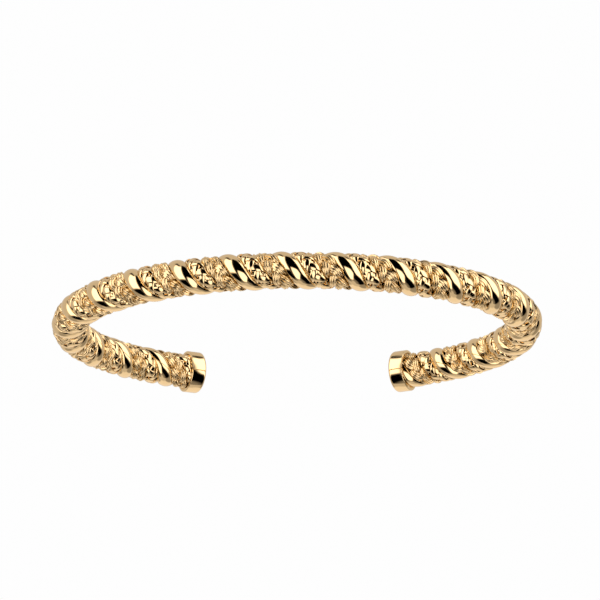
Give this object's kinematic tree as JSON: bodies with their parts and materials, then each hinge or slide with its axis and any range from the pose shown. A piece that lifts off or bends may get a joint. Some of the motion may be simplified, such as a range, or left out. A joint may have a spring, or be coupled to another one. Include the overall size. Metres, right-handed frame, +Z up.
{
  "type": "cuff bangle",
  "caption": "Oval open cuff bangle of twisted polished gold wire rope, plain, braided and plaited strands, with a smooth cup over each end.",
  "frame": {"origin": "on the surface that the bangle lies on, under the middle of its box", "axes": "+Z up along the wrist's direction, +Y towards the opening between the end cups, +X across the wider way of the oval, so the closed side faces -Y"},
  "size_m": [0.0678, 0.0538, 0.0059],
  "materials": {
    "core_gold": "drawn, bright",
    "smooth_gold": "high polish",
    "braid_gold": "bright fine wire",
    "plait_gold": "bright fine wire",
    "cap_gold": "high polish"
  },
  "bodies": {
    "root": {"core_wire": "core_gold", "smooth_wire": "smooth_gold", "braid_filler_wire": "core_gold", "braid_sleeve": "braid_gold", "plait_strand": "plait_gold", "end_cap_left": "cap_gold", "end_cap_right": "cap_gold"}
  },
  "joints": []
}
